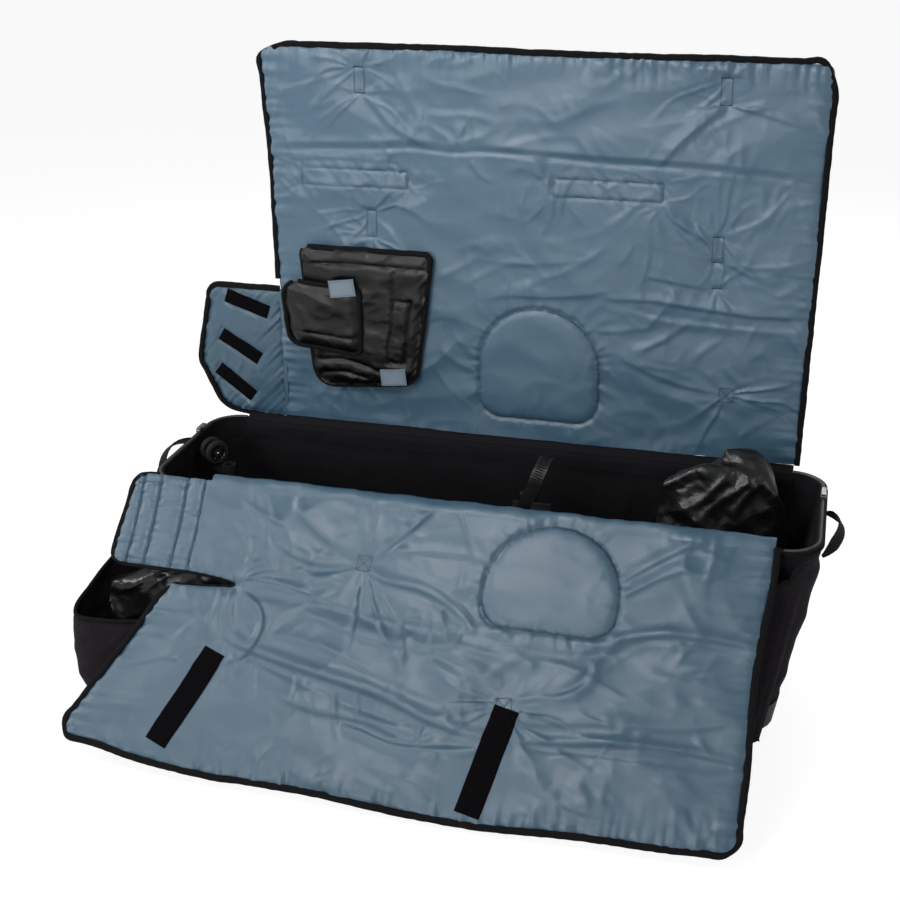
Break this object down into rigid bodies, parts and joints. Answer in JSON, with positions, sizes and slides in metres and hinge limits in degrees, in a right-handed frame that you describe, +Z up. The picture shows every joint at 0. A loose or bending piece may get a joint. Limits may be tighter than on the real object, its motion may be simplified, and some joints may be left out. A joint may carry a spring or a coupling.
{
  "type": "bike travel case",
  "caption": "Soft-sided travel case for a bicycle, stood open with padded lining panels spread, wheel pockets, rollers, frame cradle and webbing handles.",
  "frame": {"origin": "the middle of the underside of the centre skid rail, on the surface that the case stands on", "axes": "+X along the case towards its tapered right end, away from the roller wheels; +Y from the front panel towards the back panel; +Z up"},
  "size_m": [1.3725, 0.8209, 1.1455],
  "materials": {
    "blue_lining": "satin padded nylon lining",
    "black_tape": "matte folded edge tape",
    "black_shell_fabric": "matte coarse shell weave",
    "heather_fabric": "matte heathered weave",
    "black_nylon": "glossy crinkled nylon",
    "black_plastic": "moulded, fine grain",
    "black_rubber": "matte",
    "dark_metal": "satin",
    "black_webbing": "ribbed webbing",
    "black_hook_strip": "deep matte pile",
    "grey_zip_coil": "coiled teeth",
    "black_board": "matte board",
    "blue_grey_strap": "matte strap"
  },
  "bodies": {
    "tub": {"base_tray": "black_plastic", "skid_frame": "black_plastic", "base_board": "black_board", "wall_front": "black_shell_fabric", "wall_back": "black_shell_fabric", "wall_left": "black_shell_fabric", "wall_right": "black_shell_fabric", "front_pocket": "heather_fabric", "back_pocket": "heather_fabric", "pocket_piping": "black_tape", "front_wheel_bag": "black_nylon", "cover_bag": "black_nylon", "cradle_post": "dark_metal", "cradle_saddle": "black_rubber", "ladder_strap": "black_webbing", "ratchet_body": "black_plastic", "wheel_carrier": "black_plastic", "wheel_axle": "dark_metal", "tow_tube": "black_plastic", "caster_bracket": "black_plastic", "caster_axle": "dark_metal", "zip_coil_left": "grey_zip_coil", "zip_coil_right": "grey_zip_coil"},
    "back_panel": {"back_panel": "blue_lining", "back_pad": "blue_lining", "back_binding_left": "black_tape", "back_binding_right": "black_tape"},
    "roof_flap": {"roof_flap": "blue_lining", "roof_flap_binding": "black_tape"},
    "back_wing": {"back_wing": "blue_lining", "back_wing_binding": "black_tape", "loop_strip_top": "black_hook_strip", "loop_strip_middle": "black_hook_strip", "loop_strip_bottom": "black_hook_strip"},
    "top_handle_left": {"top_handle_left": "black_webbing"},
    "top_handle_right": {"top_handle_right": "black_webbing"},
    "frame_wrap": {"frame_wrap": "black_nylon", "wrap_lapel": "blue_lining", "wrap_strap_upper": "blue_grey_strap", "wrap_strap_lower": "blue_grey_strap"},
    "front_upper": {"front_panel_upper": "blue_lining", "front_pad": "blue_lining", "front_upper_binding": "black_tape"},
    "front_lower": {"front_panel_lower": "blue_lining", "front_lower_binding": "black_tape", "hook_strip_left": "black_hook_strip", "hook_strip_right": "black_hook_strip"},
    "front_wing": {"front_wing": "blue_lining", "front_wing_binding": "black_tape"},
    "roller_front": {"roller_wheel_front": "black_rubber"},
    "roller_back": {"roller_wheel_back": "black_rubber"},
    "caster_outer": {"caster_wheel_outer": "black_rubber"},
    "caster_inner": {"caster_wheel_inner": "black_rubber"},
    "handle_left": {"handle_left": "black_webbing"},
    "handle_right": {"handle_right": "black_webbing"},
    "slider_left": {"zip_slider_left": "dark_metal"},
    "slider_right": {"zip_slider_right": "dark_metal"},
    "pull_left": {"zip_pull_left": "dark_metal"},
    "pull_right": {"zip_pull_right": "dark_metal"},
    "ratchet_lever": {"ratchet_lever": "black_plastic"}
  },
  "joints": [
    {"name": "back_panel_hinge", "type": "hinge", "parent": "tub", "child": "back_panel", "pos_m": [0, 0.1765, 0.386], "axis": [1, 0, 0], "range_deg": [-115, 7]},
    {"name": "roof_flap_hinge", "type": "hinge", "parent": "back_panel", "child": "roof_flap", "pos_m": [0, 0.1765, 0.931], "axis": [1, 0, 0], "range_deg": [-20, 97]},
    {"name": "back_wing_hinge", "type": "hinge", "parent": "back_panel", "child": "back_wing", "pos_m": [-0.468, 0.1765, 0.386], "axis": [0, 0, 1], "range_deg": [0, 90]},
    {"name": "front_panel_hinge", "type": "hinge", "parent": "tub", "child": "front_upper", "pos_m": [0, -0.1765, 0.386], "axis": [1, 0, 0], "range_deg": [-143, 0]},
    {"name": "front_fold_hinge", "type": "hinge", "parent": "front_upper", "child": "front_lower", "pos_m": [-0.392, -0.29933, 0.24766], "axis": [0.9992, -0.0259, -0.0292], "range_deg": [-80, 0]},
    {"name": "front_wing_hinge", "type": "hinge", "parent": "front_upper", "child": "front_wing", "pos_m": [-0.48, -0.1765, 0.386], "axis": [0, -0.6639, -0.7478], "range_deg": [-95, 0]},
    {"name": "frame_wrap_hinge", "type": "hinge", "parent": "back_panel", "child": "frame_wrap", "pos_m": [0, 0.1585, 0.755], "axis": [-1, 0, 0], "range_deg": [0, 100]},
    {"name": "top_handle_left_swing", "type": "hinge", "parent": "back_panel", "child": "top_handle_left", "pos_m": [-0.305, 0.1845, 0.886], "axis": [1, 0, 0], "range_deg": [0, 120]},
    {"name": "top_handle_right_swing", "type": "hinge", "parent": "back_panel", "child": "top_handle_right", "pos_m": [0.181, 0.1845, 0.886], "axis": [1, 0, 0], "range_deg": [0, 120]},
    {"name": "handle_left_swing", "type": "hinge", "parent": "tub", "child": "handle_left", "pos_m": [-0.62385, -0.01, 0.35], "axis": [0, 1, 0], "range_deg": [-110, 10]},
    {"name": "handle_right_swing", "type": "hinge", "parent": "tub", "child": "handle_right", "pos_m": [0.61959, -0.024, 0.35], "axis": [0, 1, 0], "range_deg": [-15, 90]},
    {"name": "roller_front_spin", "type": "hinge", "parent": "tub", "child": "roller_front", "pos_m": [-0.674, -0.08, 0.0405], "axis": [0, 1, 0], "continuous": true},
    {"name": "roller_back_spin", "type": "hinge", "parent": "tub", "child": "roller_back", "pos_m": [-0.674, 0.08, 0.0405], "axis": [0, 1, 0], "continuous": true},
    {"name": "caster_outer_spin", "type": "hinge", "parent": "tub", "child": "caster_outer", "pos_m": [-0.569, 0.026, 0.36], "axis": [0.788, -0.6157, 0], "continuous": true},
    {"name": "caster_inner_spin", "type": "hinge", "parent": "tub", "child": "caster_inner", "pos_m": [-0.569, 0.026, 0.36], "axis": [0.788, -0.6157, 0], "continuous": true},
    {"name": "slider_left_slide", "type": "slide", "parent": "tub", "child": "slider_left", "axis": [0, 1, 0], "range_m": [-0.15, 0.035]},
    {"name": "slider_right_slide", "type": "slide", "parent": "tub", "child": "slider_right", "axis": [0, 1, 0], "range_m": [-0.15, 0.035]},
    {"name": "pull_left_swing", "type": "hinge", "parent": "slider_left", "child": "pull_left", "pos_m": [-0.614, 0.053, 0.3913], "axis": [1, 0, 0], "range_deg": [0, 110]},
    {"name": "pull_right_swing", "type": "hinge", "parent": "slider_right", "child": "pull_right", "pos_m": [0.614, 0.053, 0.3913], "axis": [1, 0, 0], "range_deg": [0, 110]},
    {"name": "ratchet_lever_hinge", "type": "hinge", "parent": "tub", "child": "ratchet_lever", "pos_m": [0.072, 0.051, 0.332], "axis": [1, 0, 0], "range_deg": [0, 100]}
  ]
}
